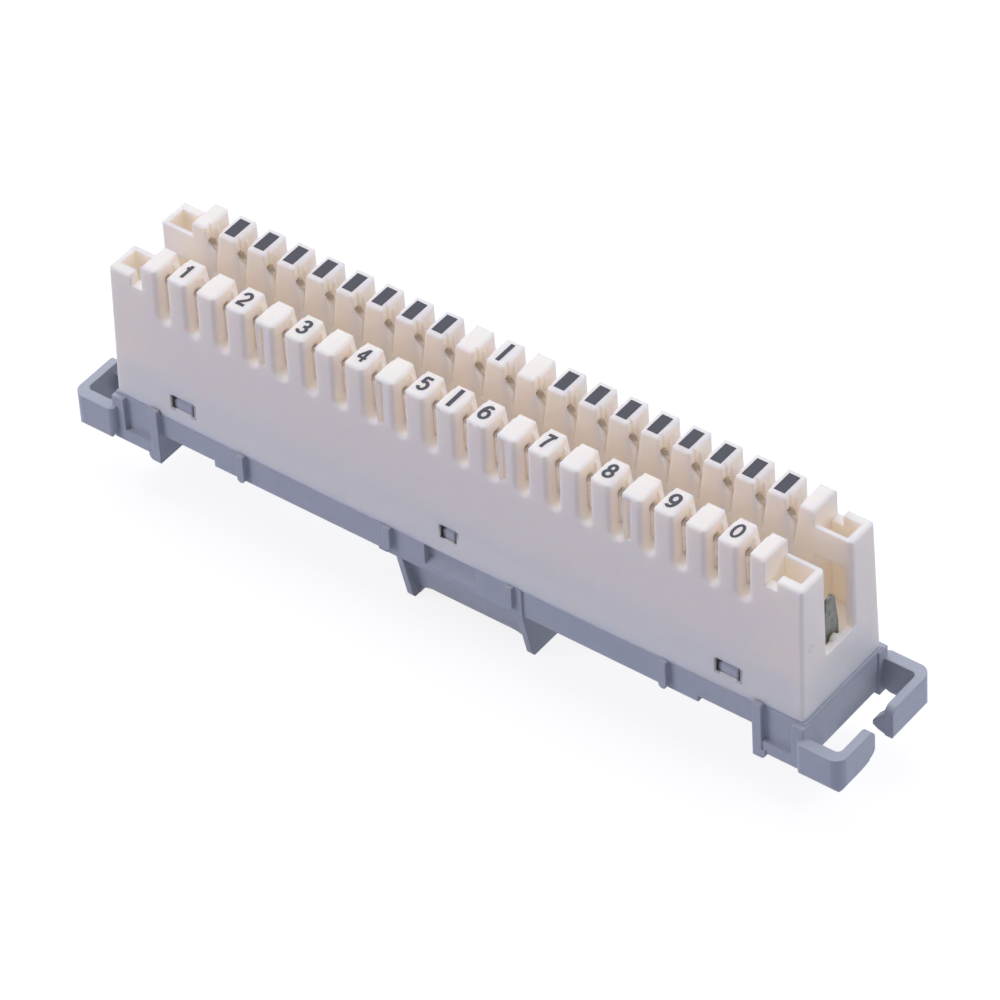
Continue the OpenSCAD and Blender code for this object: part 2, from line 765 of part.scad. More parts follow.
// Fork as seen square to its sheet: two prongs, a slit and a flared mouth over a narrow neck
module fork_outline() {
    tip = 0.5;
    difference() {
        polygon([
            [-stem_w / 2, cavity_h], [stem_w / 2, cavity_h], [stem_w / 2, shoulder_h - 1],
            [fork_w / 2, shoulder_h], [fork_w / 2, fork_h - tip], [fork_w / 2 - tip, fork_h],
            [-fork_w / 2 + tip, fork_h], [-fork_w / 2, fork_h - tip], [-fork_w / 2, shoulder_h],
            [-stem_w / 2, shoulder_h - 1]
        ]);
        translate([-slit_w / 2, shoulder_h + 2]) square([slit_w, fork_h - shoulder_h]);
        polygon([[-slit_w / 2, fork_h - 2], [slit_w / 2, fork_h - 2], [0.75, fork_h + 0.1],
            [-0.75, fork_h + 0.1]]);
    }
}

// Blade as seen along the block: it lies on the deck, turns up and leans to the middle
module blade_outline() {
    t = sheet_t;
    turn = 1;
    rise_y = 2.3;
    touch = blade_gap / 2;
    lead_h = meet_h + 2.6;
    path = concat(
        [[contact_y, cavity_h + 0.6], [contact_y, deck_top + t / 2 + turn]],
        [for (a = [15:15:75]) [contact_y - turn * (1 - cos(a)), deck_top + t / 2 + turn * (1 - sin(a))]],
        [[contact_y - turn, deck_top + t / 2], [rise_y + turn, deck_top + t / 2]],
        [for (a = [20:20:60]) [rise_y + turn * (1 - sin(a)), deck_top + t / 2 + turn * (1 - cos(a))]],
        [[rise_y - 0.1, deck_top + turn + 1]],
        [[touch + t / 2 + 0.25, meet_h - 1.2], [touch + t / 2 + 0.06, meet_h - 0.5],
         [touch + t / 2, meet_h], [touch + t / 2 + 0.06, meet_h + 0.5], [touch + t / 2 + 0.3, meet_h + 1.2],
         [touch + 1.2, lead_h]]
    );
    polygon(band(path, t));
}

// Outline of a strip of width t along a path: one side out, the other side back
function band(path, t) = concat(
    [for (k = [0:len(path) - 1]) path[k] + band_offset(path, k, t / 2)],
    [for (k = [len(path) - 1:-1:0]) path[k] - band_offset(path, k, t / 2)]
);
function unit(v) = v / norm(v);
function band_offset(path, k, d) =
    let (
        before = unit(path[max(k, 1)] - path[max(k, 1) - 1]),
        after = unit(path[min(k, len(path) - 2) + 1] - path[min(k, len(path) - 2)]),
        n0 = [-before[1], before[0]],
        n1 = [-after[1], after[0]],
        mid = unit(n0 + n1)
    ) mid * d / (mid * n0);

// One contact of the back row, bent from a single strip
module contact_strip() {
    color(silver) {
        translate([0, contact_y, 0]) rotate([0, 0, 45]) rotate([90, 0, 0])
            linear_extrude(sheet_t, center = true) fork_outline();
        along_x(-stem_w / 2, stem_w / 2) stem_side();
        along_x(-blade_w / 2, blade_w / 2) blade_outline();
    }
}

module stem_side() {
    translate([contact_y - sheet_t / 2, cavity_h]) square([sheet_t, 1.4]);
}

module contact_at(row, i) {
    translate([0, 0, seat_z]) rotate([0, 0, row == "front" ? 180 : 0])
        translate([row == "front" ? -slot_x(i) : slot_x(i), 0, 0]) contact_strip();
}

// Earth tongue: a round-topped sheet on the deck that stands behind an end window
module earth_tongue() {
    top_r = 0.95;
    foot_h = 0;
    color(silver) translate([0, 0, seat_z]) along_x(tongue_x, tongue_x + sheet_t) {
        translate([0, tongue_h - top_r]) circle(top_r);
        polygon([
            [-tongue_w / 2, foot_h], [tongue_w / 2, foot_h], [tongue_w / 2, tongue_h - tongue_taper],
            [top_r, tongue_h - top_r], [-top_r, tongue_h - top_r], [-tongue_w / 2, tongue_h - tongue_taper]
        ]);
    }
}

module earth_contact_right() {
    earth_tongue();
}

module earth_contact_left() {
    rotate([0, 0, 180]) earth_tongue();
}

housing();
base();
earth_contact_left();
earth_contact_right();
for (row = ["front", "back"], i = [1:slots])
    contact_at(row, i);
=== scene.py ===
"""Finishes, print and studio for a ten-pair wiring block with two rows of fingers."""
import math

import bpy
import numpy as np
from mathutils import Euler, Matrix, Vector


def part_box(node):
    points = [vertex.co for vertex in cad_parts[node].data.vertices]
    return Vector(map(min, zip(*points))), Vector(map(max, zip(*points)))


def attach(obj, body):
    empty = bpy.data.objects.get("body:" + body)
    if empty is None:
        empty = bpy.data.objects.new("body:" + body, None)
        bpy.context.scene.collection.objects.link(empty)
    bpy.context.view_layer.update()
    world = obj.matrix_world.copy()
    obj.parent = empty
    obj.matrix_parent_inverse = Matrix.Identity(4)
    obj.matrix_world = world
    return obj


bl_info = {
    "name": "Wiring Block Dresser",
    "version": (1, 0, 0),
    "blender": (4, 5, 0),
    "location": "View3D > Sidebar > Wiring Block",
    "description": "Dresses a packed wiring block with moulded plastic, plated contacts, print and a studio",
    "category": "Object",
}

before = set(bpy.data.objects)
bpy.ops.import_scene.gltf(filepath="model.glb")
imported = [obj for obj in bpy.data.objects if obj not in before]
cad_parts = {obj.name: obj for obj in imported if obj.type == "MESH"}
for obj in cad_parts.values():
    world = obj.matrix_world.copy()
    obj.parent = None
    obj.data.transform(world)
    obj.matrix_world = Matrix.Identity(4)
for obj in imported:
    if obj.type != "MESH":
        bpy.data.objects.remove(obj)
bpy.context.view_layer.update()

MM = 0.001
ROWS = ("front", "back")
SLOTS = sum(1 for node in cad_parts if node.startswith("contact_front_"))
HOUSING_LOW, HOUSING_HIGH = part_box("housing")
FINGER_TOP = HOUSING_HIGH.z
FRONT_FACE = HOUSING_LOW.y
RIGHT_END = HOUSING_HIGH.x
HOUSING_FOOT = HOUSING_LOW.z
FRONT_LEAN = math.tan(math.radians(1.8))

# Hair scratches on the front face: place along the block and height over the foot, in millimetres
SCRATCHES = (((-2.0, 26.0), (0.6, 25.4)), ((3.1, 31.9), (3.7, 31.6)))
SCRATCH_REACH = 0.10 * MM

# Dark rubs at the front edge of finger tops: fingers past the middle one, and the shift along the block
RUBS = ((0, -0.9 * MM), (1, -0.6 * MM), (1, 0.7 * MM))
RUB_REACH = 0.28 * MM
RUB_DEPTH, RUB_INSET = 0.35 * MM, 0.9 * MM

# Speck in the front face near the left end, and the ejector's ring in the right end face
SPECK_PLACE = (-54.4 * MM, FRONT_FACE + 0.75 * MM, HOUSING_FOOT + 5.9 * MM)
SPECK_REACH = 0.22 * MM
EJECTOR_PLACE = (RIGHT_END - 0.2 * MM, -6.4 * MM, HOUSING_FOOT + 11.7 * MM)
EJECTOR_RADIUS, EJECTOR_LINE = 0.5 * MM, 0.16 * MM

# Colours of rubs and specks, and of the deep shade in the snap windows
RUB_COLOUR = (0.17, 0.15, 0.15)
SHADE_COLOUR = (0.05, 0.06, 0.06)

# Scales of the patterns, in turns per metre
IVORY_AGE, IVORY_MOTTLE, IVORY_SHEEN, IVORY_GRAIN, IVORY_DRAG = 45.0, 420.0, 900.0, 5200.0, 2600.0
RUB_BREAKS = 6000.0
GREY_MOTTLE, GREY_FLOW, GREY_SHEEN, GREY_GRAIN = 160.0, 900.0, 1100.0, 4200.0
METAL_DULL, METAL_LINES = 700.0, 9000.0
INK_COVER, INK_GRAIN = 5000.0, 12000.0

# Stretch of the patterns that run up the walls, along the base and up the sheet
UPWARDS, LENGTHWAYS, SHEETWAYS = (1.0, 1.0, 0.08), (0.12, 1.0, 1.0), (1.0, 1.0, 0.05)

# Recesses: how far off a wall may be to close one, the distances from the middle of the block between
# which their painted glow fades and its share past them, and the heights between which it sets in
RECESS_REACH = 8.0 * MM
PAINTED_GLOW_NEAR, PAINTED_GLOW_FAR, PAINTED_GLOW_OUTSIDE = 4.5 * MM, 9.0 * MM, 0.3
PAINTED_GLOW_LOW, PAINTED_GLOW_HIGH = HOUSING_FOOT + 4.5 * MM, HOUSING_FOOT + 7.5 * MM

# Heights between which the forks' tips are painted dark, a painted shade of the hollows about them
TIP_SHADE_LOW, TIP_SHADE_HIGH = FINGER_TOP - 3.6 * MM, FINGER_TOP - 2.9 * MM

# Refraction of the plastics
PLASTIC_IOR = 1.49

# The nought and the four are drawn with a finer stroke, this share of the others'
FINE_DIGITS = (0, 4)
FINE_STROKE = 0.86

# Each further stroke of a numeral lies this much higher, so that crossing strokes don't share a surface
STROKE_STEP = 0.003 * MM

# Snap windows: middles along the block and half lengths, their levels, and the shade at their ends
WINDOW_PLACE = RIGHT_END - 11.6 * MM
WINDOWS = ((-WINDOW_PLACE, 1.85 * MM), (0.0, 1.3 * MM), (WINDOW_PLACE, 1.85 * MM))
WINDOW_LOW, WINDOW_HIGH = HOUSING_FOOT + 1.9 * MM, HOUSING_FOOT + 4.4 * MM
SHADE_START, SHADE_FULL = 0.8 * MM, 0.32 * MM
SHADE_FADE, SHADE_END = 0.3 * MM, 0.4 * MM
JAMB_DEEP, JAMB_FRONT = -FRONT_FACE - 0.5 * MM, -FRONT_FACE - 0.25 * MM

# The side from which the fill is dimmer, towards the corner of the front and the right end
DIM_SIDE = (0.66, -0.72, 0.2)

# Where the camera stands, in metres, how it is turned, in degrees, and its sensor in millimetres
CAMERA_PLACE = (0.38958, -0.47028, 0.58174)
CAMERA_TURN = (47.2432, 2.6891, 37.0149)
CAMERA_SENSOR = 36
CAMERA_NEAR, CAMERA_FAR = 0.05, 20

# Lamps at the sides: name, place, power and colour, and the side of their squares
SIDE_LAMPS = (("left", (-0.75, -0.75, 0.45), 4.0, (0.86, 0.82, 1.0)),
              ("right", (1.0, 0.6, 0.5), 3.6, (0.85, 0.86, 1.0)))
SIDE_LAMP_SIZE = 0.6
KEY_PLACE, KEY_COLOUR = (-0.15, 0.25), (0.85, 0.90, 0.98)

# What the eye sees of the floor: its own share of white, and the grey that takes the shadow
FLOOR_GLOW = 0.84
FLOOR_SHADE = (0.25, 0.25, 0.25, 1)

# How far the print sinks into the plastic
INK_SINK = 0.02 * MM


# ---- Settings ----

class PrintSettings(bpy.types.PropertyGroup):
    """Numerals of the front row and marker bars of both rows."""
    digit_height: bpy.props.FloatProperty(
        name="Numeral height", description="Height of a numeral over its strokes",
        default=2.8 * MM, min=1 * MM, unit="LENGTH")
    digit_width: bpy.props.FloatProperty(
        name="Numeral width", description="Width of a round numeral over its strokes",
        default=1.68 * MM, min=0.5 * MM, unit="LENGTH")
    stroke: bpy.props.FloatProperty(
        name="Stroke", description="Width of a numeral's stroke",
        default=0.5 * MM, min=0.1 * MM, unit="LENGTH")
    row_offset: bpy.props.FloatProperty(
        name="Print line", description="Distance of the print from the middle of the block",
        default=5.3 * MM, unit="LENGTH")
    mark_length: bpy.props.FloatProperty(
        name="Marker length", description="Length of a dark marker across the block",
        default=3.5 * MM, unit="LENGTH")
    mark_width: bpy.props.FloatProperty(
        name="Marker width", description="Width of a dark marker",
        default=1.7 * MM, unit="LENGTH")
    bar_length: bpy.props.FloatProperty(
        name="Middle bar length", description="Length of the thin bar at mid-block",
        default=3.6 * MM, unit="LENGTH")
    bar_width: bpy.props.FloatProperty(
        name="Middle bar width", description="Width of the thin bar at mid-block",
        default=0.66 * MM, unit="LENGTH")
    ink_height: bpy.props.FloatProperty(
        name="Ink height", description="How far the ink stands on the plastic",
        default=0.008 * MM, unit="LENGTH")
    ink_colour: bpy.props.FloatVectorProperty(
        name="Ink", description="Colour of the ink", subtype="COLOR",
        default=(0.040, 0.040, 0.052), min=0, max=1)


class PlasticSettings(bpy.types.PropertyGroup):
    """Moulded plastics of the housing and of the base."""
    ivory: bpy.props.FloatVectorProperty(
        name="Ivory", description="Colour of the housing", subtype="COLOR",
        default=(0.93, 0.84, 0.72), min=0, max=1)
    ivory_deep: bpy.props.FloatVectorProperty(
        name="Ivory, yellowed", description="Colour of the housing where it has aged",
        subtype="COLOR", default=(0.92, 0.81, 0.64), min=0, max=1)
    # Painted light: the lighter, warmer colour that the housing takes in its recesses.
    ivory_painted_light: bpy.props.FloatVectorProperty(
        name="Ivory, in recesses", description="Colour of the housing where light comes through it",
        subtype="COLOR", default=(0.96, 0.87, 0.77), min=0, max=1)
    # Painted glow: the colour that the housing emits in its recesses, though it is no lamp.
    painted_glow_colour: bpy.props.FloatVectorProperty(
        name="Light through, colour", description="Colour of the light that the walls let into recesses",
        subtype="COLOR", default=(1.0, 0.80, 0.68), min=0, max=1)
    seep: bpy.props.FloatProperty(
        name="Light within", description="Share of the light that travels inside the housing's plastic",
        default=0.7, min=0, max=1, subtype="FACTOR")
    seep_depth: bpy.props.FloatProperty(
        name="Light within, reach", description="How far light travels inside the housing's plastic",
        default=3.0 * MM, unit="LENGTH")
    seep_tint: bpy.props.FloatVectorProperty(
        name="Light within, tint", description="Share of that reach for red, green and blue light",
        default=(1.0, 0.68, 0.40), min=0, max=1)
    # Strength of that painted glow in the recesses.
    glow: bpy.props.FloatProperty(
        name="Light through", description="Strength of the light that the walls let into recesses",
        default=0.085, min=0, max=1)
    grey: bpy.props.FloatVectorProperty(
        name="Blue-grey", description="Colour of the base", subtype="COLOR",
        default=(0.425, 0.447, 0.475), min=0, max=1)
    grey_deep: bpy.props.FloatVectorProperty(
        name="Blue-grey, worn", description="Colour of the base where it is rubbed",
        subtype="COLOR", default=(0.378, 0.40, 0.428), min=0, max=1)
    edge_round: bpy.props.FloatProperty(
        name="Edge rounding", description="Radius that the moulded edges shade with",
        default=0.38 * MM, unit="LENGTH")
    ivory_roughness: bpy.props.FloatProperty(
        name="Housing roughness", description="Roughness of the housing's surface",
        default=0.42, min=0, max=1, subtype="FACTOR")
    grey_roughness: bpy.props.FloatProperty(
        name="Base roughness", description="Roughness of the base's surface",
        default=0.48, min=0, max=1, subtype="FACTOR")


class MetalSettings(bpy.types.PropertyGroup):
    """Plated contact sheet."""
    plating: bpy.props.FloatVectorProperty(
        name="Plating", description="Colour of the contacts", subtype="COLOR",
        default=(0.84, 0.78, 0.69), min=0, max=1)
    tarnish: bpy.props.FloatVectorProperty(
        name="Tarnish", description="Colour of the duller patches", subtype="COLOR",
        default=(0.72, 0.67, 0.58), min=0, max=1)
    # Painted shade: the dark colour that the forks' tips take at the top of their hollows.
    painted_tip_shade: bpy.props.FloatVectorProperty(
        name="Tips", description="Colour of the forks' darkened tips", subtype="COLOR",
        default=(0.50, 0.45, 0.39), min=0, max=1)
    earth: bpy.props.FloatVectorProperty(
        name="Earth tongues", description="Colour of the earth contacts", subtype="COLOR",
        default=(0.235, 0.245, 0.225), min=0, max=1)
    earth_tarnish: bpy.props.FloatVectorProperty(
        name="Earth tongues, dull", description="Colour of the earth contacts' duller patches",
        subtype="COLOR", default=(0.12, 0.135, 0.115), min=0, max=1)
    roughness: bpy.props.FloatProperty(
        name="Roughness", description="Roughness of the plating",
        default=0.42, min=0, max=1, subtype="FACTOR")
    metallic: bpy.props.FloatProperty(
        name="Metallic", description="How much the worn plating mirrors as metal",
        default=0.7, min=0, max=1, subtype="FACTOR")


class StageSettings(bpy.types.PropertyGroup):
    """Floor, lamps and camera."""
    floor_size: bpy.props.FloatProperty(
        name="Floor size", description="Side of the square floor", default=6, unit="LENGTH")
    floor_colour: bpy.props.FloatVectorProperty(
        name="Floor", description="Colour of the floor", subtype="COLOR",
        default=(0.42, 0.45, 0.56), min=0, max=1)
    sky_colour: bpy.props.FloatVectorProperty(
        name="Fill", description="Colour of the light from all round", subtype="COLOR",
        default=(0.75, 0.75, 1.0), min=0, max=1)
    sky_strength: bpy.props.FloatProperty(
        name="Fill strength", description="Strength of the light from all round", default=0.55)
    dim_share: bpy.props.FloatProperty(
        name="Dim side", description="Share of the fill that comes from the dim side",
        default=0.45, min=0, max=1, subtype="FACTOR")
    key_power: bpy.props.FloatProperty(
        name="Key power", description="Power of the large lamp overhead", default=7.5, unit="POWER")
    key_size: bpy.props.FloatProperty(
        name="Key size", description="Side of the large lamp overhead", default=0.9, unit="LENGTH")
    key_height: bpy.props.FloatProperty(
        name="Key height", description="Height of the large lamp over the floor",
        default=1.1, unit="LENGTH")
    lens: bpy.props.FloatProperty(
        name="Lens", description="Focal length of the camera in millimetres", default=229.2)


SETTINGS = {"wb_print": PrintSettings, "wb_plastic": PlasticSettings,
            "wb_metal": MetalSettings, "wb_stage": StageSettings}


# ---- Node helpers ----

def put(tree, kind, values=(), **fields):
    """Adds a node, sets its fields, and gives each named or numbered socket a value or a link."""
    made = tree.nodes.new(kind)
    for field, value in fields.items():
        setattr(made, field, value)
    for socket, value in dict(values).items():
        if isinstance(value, bpy.types.NodeSocket):
            tree.links.new(value, made.inputs[socket])
        else:
            made.inputs[socket].default_value = value
    return made


def maths(tree, operation, first, second=0.0, clamp=False):
    """One Math node's result."""
    return put(tree, "ShaderNodeMath", {0: first, 1: second},
               operation=operation, use_clamp=clamp).outputs[0]


def span(tree, value, low, high, to_low=0.0, to_high=1.0):
    """The value's place between two limits, eased in and out, mapped to two others."""
    return put(tree, "ShaderNodeMapRange",
               {"Value": value, "From Min": low, "From Max": high, "To Min": to_low, "To Max": to_high},
               interpolation_type="SMOOTHSTEP").outputs["Result"]


def noise(tree, place, scale, detail=2.0, rough=0.5):
    """Fractal noise over a place."""
    return put(tree, "ShaderNodeTexNoise",
               {"Vector": place, "Scale": scale, "Detail": detail, "Roughness": rough}).outputs["Fac"]


def stretch(tree, place, scales):
    """A place stretched along its axes."""
    return put(tree, "ShaderNodeMapping", {"Vector": place, "Scale": scales}).outputs["Vector"]


def blend(tree, share, first, second):
    """Mixes two colours by a share from 0 to 1."""
    made = tree.nodes.new("ShaderNodeMix")
    made.data_type = "RGBA"
    for socket, value in ((made.inputs[0], share), (made.inputs[6], first), (made.inputs[7], second)):
        if isinstance(value, bpy.types.NodeSocket):
            tree.links.new(value, socket)
        elif socket is made.inputs[0]:
            socket.default_value = value
        else:
            socket.default_value = (*value, 1)
    return made.outputs[2]


def spot(tree, place, centre, reach, edge=0.35):
    """Share of a soft round spot: 1 within its reach about a centre, eased to 0 past its edge."""
    away = put(tree, "ShaderNodeVectorMath", {0: place, 1: centre}, operation="DISTANCE").outputs["Value"]
    return span(tree, away, reach * (1 - edge), reach * (1 + edge), 1.0, 0.0)


def strongest(tree, shares):
    """The greatest of several shares."""
    result = shares[0]
    for share in shares[1:]:
        result = maths(tree, "MAXIMUM", result, share)
    return result


def new_finish(name):
    """An empty node material with one shader: material, tree, object place, shader."""
    material = bpy.data.materials.new(name)
    material.use_nodes = True
    tree = material.node_tree
    shader = tree.nodes["Principled BSDF"]
    place = tree.nodes.new("ShaderNodeTexCoord").outputs["Object"]
    return material, tree, place, shader


def rounded(tree, radius):
    """Normal that shades the hard edges with a small radius, and how near an edge a point is."""
    normal = put(tree, "ShaderNodeBevel", {"Radius": radius}, samples=6).outputs["Normal"]
    flat = tree.nodes.new("ShaderNodeNewGeometry").outputs["True Normal"]
    agree = put(tree, "ShaderNodeVectorMath", {0: normal, 1: flat}, operation="DOT_PRODUCT").outputs["Value"]
    return normal, span(tree, agree, 0.985, 0.86)


def recessed(tree, reach):
    """Share of a recess: how much of the view from a point is closed within a reach."""
    open_share = put(tree, "ShaderNodeAmbientOcclusion", {"Distance": reach}, samples=8).outputs["AO"]
    return span(tree, open_share, 0.92, 0.42)


def bumped(tree, normal, height, strength, distance):
    """Normal with a fine relief laid over it."""
    fields = {"Height": height, "Strength": strength, "Distance": distance, "Normal": normal}
    return put(tree, "ShaderNodeBump", fields).outputs["Normal"]


def tinted(colour, factor):
    """A colour made lighter or darker by a factor, with no part over 1."""
    return tuple(min(1.0, factor * part) for part in colour)


def dress(names, material):
    """Gives CAD nodes one material in place of their own."""
    for name in names:
        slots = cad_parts[name].data.materials
        slots.clear()
        slots.append(material)


# ---- Finishes ----

def front_point(mark):
    """A place on the leaning front face: further in by the lean's share of the height over its foot."""
    along, height = mark[0] * MM, mark[1] * MM
    return along, FRONT_FACE + FRONT_LEAN * (height - HOUSING_FOOT), height


def scratch(tree, place, start, end, reach):
    """Share of a hair scratch: 1 along the run from start to end, 0 past its reach. The nearest place on
    the run is start plus the run times a share, which is the dot product with the run over its square."""
    run = Vector(end) - Vector(start)
    off = put(tree, "ShaderNodeVectorMath", {0: place, 1: start}, operation="SUBTRACT").outputs[0]
    along = put(tree, "ShaderNodeVectorMath", {0: off, 1: run}, operation="DOT_PRODUCT").outputs["Value"]
    share = maths(tree, "DIVIDE", along, run.length_squared, clamp=True)
    step = put(tree, "ShaderNodeVectorMath", {0: run, "Scale": share}, operation="SCALE").outputs[0]
    away = put(tree, "ShaderNodeVectorMath", {0: off, 1: step}, operation="DISTANCE").outputs["Value"]
    return span(tree, away, 0.0, reach, 1.0, 0.0)


def ring(tree, place, centre, radius, reach):
    """Share of a thin ring about a centre."""
    away = put(tree, "ShaderNodeVectorMath", {0: place, 1: centre}, operation="DISTANCE").outputs["Value"]
    return span(tree, maths(tree, "ABSOLUTE", maths(tree, "SUBTRACT", away, radius)), 0.0, reach, 1.0, 0.0)


def scuff_shares(tree, place):
    """Small dark rubs on two finger edges, a speck by the left end, two hair scratches, an ejector's ring."""
    first, second = finger_places()[:2]
    rubs = []
    for step, shift in RUBS:
        centre = (step * (second - first) + shift, FRONT_FACE + RUB_INSET, FINGER_TOP - RUB_DEPTH)
        rubs.append(spot(tree, place, centre, RUB_REACH, 0.8))
    speck = spot(tree, place, SPECK_PLACE, SPECK_REACH, 0.6)
    hairs = [scratch(tree, place, front_point(start), front_point(end), SCRATCH_REACH)
             for start, end in SCRATCHES]
    ejector = ring(tree, place, EJECTOR_PLACE, EJECTOR_RADIUS, EJECTOR_LINE)
    return rubs, speck, hairs, ejector


def window_gaps(tree, place):
    """Share of the deep shade at both ends of the noses that show in the snap windows."""
    parts = put(tree, "ShaderNodeSeparateXYZ", {0: place}).outputs
    ends = []
    for middle, half in WINDOWS:
        away = maths(tree, "ABSOLUTE", maths(tree, "SUBTRACT", parts["X"], middle))
        inner = span(tree, away, half - SHADE_START, half - SHADE_FULL)
        outer = span(tree, away, half + SHADE_FADE, half + SHADE_END, 1.0, 0.0)
        ends.append(maths(tree, "MULTIPLY", inner, outer))
    level = maths(tree, "MULTIPLY", maths(tree, "GREATER_THAN", parts["Z"], WINDOW_LOW),
                  maths(tree, "LESS_THAN", parts["Z"], WINDOW_HIGH))
    return maths(tree, "MULTIPLY", strongest(tree, ends), level)


def housing_finish(plastic):
    """Ivory moulding: broad yellowing and mottle, fine grain, softened rims lightened as a painted highlight,
    painted warm light and a painted glow in recesses, a few rubs.
    """
    material, tree, place, shader = new_finish("ivory_moulding")
    normal, edge_highlight = rounded(tree, plastic.edge_round)
    age = span(tree, noise(tree, place, IVORY_AGE, 3.0), 0.35, 0.75)
    mottle = noise(tree, place, IVORY_MOTTLE, 4.0, 0.6)
    colour = blend(tree, maths(tree, "MULTIPLY", age, 0.16), plastic.ivory, plastic.ivory_deep)
    colour = blend(tree, maths(tree, "MULTIPLY", span(tree, mottle, 0.45, 0.8), 0.16), colour,
                   tinted(plastic.ivory, 0.93))
    # Painted highlight: the colour is lighter near the rims.
    colour = blend(tree, maths(tree, "MULTIPLY", edge_highlight, 0.35), colour, tinted(plastic.ivory, 1.08))
    # Painted light: where the view is closed, the colour turns lighter and warmer.
    recess = recessed(tree, RECESS_REACH)
    colour = blend(tree, maths(tree, "MULTIPLY", recess, 0.7), colour, plastic.ivory_painted_light)
    parts = put(tree, "ShaderNodeSeparateXYZ", {0: place}).outputs
    across = maths(tree, "ABSOLUTE", parts["Y"])
    middle = span(tree, across, PAINTED_GLOW_NEAR, PAINTED_GLOW_FAR, 1.0, PAINTED_GLOW_OUTSIDE)
    raised = span(tree, parts["Z"], PAINTED_GLOW_LOW, PAINTED_GLOW_HIGH)
    painted_glow_share = maths(tree, "MULTIPLY", maths(tree, "MULTIPLY", recess, middle), raised)
    # Painted glow: the recesses near the middle of the block emit a warm light.
    glow = blend(tree, painted_glow_share, (0, 0, 0), plastic.painted_glow_colour)
    tree.links.new(glow, shader.inputs["Emission Color"])
    shader.inputs["Emission Strength"].default_value = plastic.glow
    rubs, speck, hairs, ejector = scuff_shares(tree, place)
    broken = span(tree, noise(tree, place, RUB_BREAKS, 3.0), 0.4, 0.62)
    dark = maths(tree, "MULTIPLY", strongest(tree, rubs), broken)
    faint = maths(tree, "MULTIPLY", strongest(tree, [*hairs, ejector]), 0.35)
    dark = maths(tree, "MULTIPLY", strongest(tree, [dark, speck, faint]), 0.6)
    colour = blend(tree, dark, colour, RUB_COLOUR)
    jamb = span(tree, across, JAMB_DEEP, JAMB_FRONT, 0.8, 0.0)
    colour = blend(tree, maths(tree, "MULTIPLY", window_gaps(tree, place), jamb), colour, SHADE_COLOUR)
    tree.links.new(colour, shader.inputs["Base Color"])
    rough = span(tree, noise(tree, place, IVORY_SHEEN, 3.0), 0.3, 0.7,
                 plastic.ivory_roughness - 0.05, plastic.ivory_roughness + 0.08)
    tree.links.new(rough, shader.inputs["Roughness"])
    drag = noise(tree, stretch(tree, place, UPWARDS), IVORY_DRAG, 2.0)
    grain = maths(tree, "ADD", noise(tree, place, IVORY_GRAIN, 3.0), maths(tree, "MULTIPLY", drag, 0.4))
    tree.links.new(bumped(tree, normal, grain, 0.10, 0.05 * MM), shader.inputs["Normal"])
    shader.inputs["Subsurface Weight"].default_value = plastic.seep
    shader.inputs["Subsurface Radius"].default_value = plastic.seep_tint
    shader.inputs["Subsurface Scale"].default_value = plastic.seep_depth
    shader.inputs["IOR"].default_value = PLASTIC_IOR
    return material


def base_finish(plastic):
    """Blue-grey moulding: soft mottle, flow streaks along the block, edges lightened as a painted highlight.
    """
    material, tree, place, shader = new_finish("blue_grey_moulding")
    normal, edge_highlight = rounded(tree, plastic.edge_round * 0.8)
    mottle = span(tree, noise(tree, place, GREY_MOTTLE, 4.0, 0.6), 0.35, 0.7)
    flow = span(tree, noise(tree, stretch(tree, place, LENGTHWAYS), GREY_FLOW, 3.0), 0.4, 0.75)
    colour = blend(tree, maths(tree, "MULTIPLY", mottle, 0.5), plastic.grey, plastic.grey_deep)
    colour = blend(tree, maths(tree, "MULTIPLY", flow, 0.15), colour, tinted(plastic.grey, 1.1))
    # Painted highlight: the colour is lighter near the rims.
    colour = blend(tree, maths(tree, "MULTIPLY", edge_highlight, 0.45), colour, tinted(plastic.grey, 1.28))
    colour = blend(tree, maths(tree, "MULTIPLY", window_gaps(tree, place), 0.85), colour, SHADE_COLOUR)
    tree.links.new(colour, shader.inputs["Base Color"])
    rough = span(tree, noise(tree, place, GREY_SHEEN, 3.0), 0.3, 0.7,
                 plastic.grey_roughness - 0.06, plastic.grey_roughness + 0.08)
    tree.links.new(rough, shader.inputs["Roughness"])
    grain = noise(tree, place, GREY_GRAIN, 4.0, 0.6)
    tree.links.new(bumped(tree, normal, grain, 0.14, 0.06 * MM), shader.inputs["Normal"])
    shader.inputs["IOR"].default_value = PLASTIC_IOR
    return material


def contact_finish(metal, name, plating, tarnish):
    """Silver-plated sheet: rolling lines, dull patches, and a painted shade on the forks' tips."""
    material, tree, place, shader = new_finish(name)
    normal = tree.nodes.new("ShaderNodeNewGeometry").outputs["Normal"]
    dull = span(tree, noise(tree, place, METAL_DULL, 4.0, 0.6), 0.4, 0.7)
    lines = noise(tree, stretch(tree, place, SHEETWAYS), METAL_LINES, 2.0)
    colour = blend(tree, dull, plating, tarnish)
    height = put(tree, "ShaderNodeSeparateXYZ", {0: place}).outputs["Z"]
    # Painted shade: the tips darken by height.
    painted_tip_shade = span(tree, height, TIP_SHADE_LOW, TIP_SHADE_HIGH)
    colour = blend(tree, painted_tip_shade, colour, metal.painted_tip_shade)
    tree.links.new(colour, shader.inputs["Base Color"])
    tree.links.new(span(tree, lines, 0.3, 0.7, metal.roughness - 0.08, metal.roughness + 0.1),
                   shader.inputs["Roughness"])
    tree.links.new(bumped(tree, normal, lines, 0.12, 0.02 * MM), shader.inputs["Normal"])
    shader.inputs["Metallic"].default_value = metal.metallic
    return material


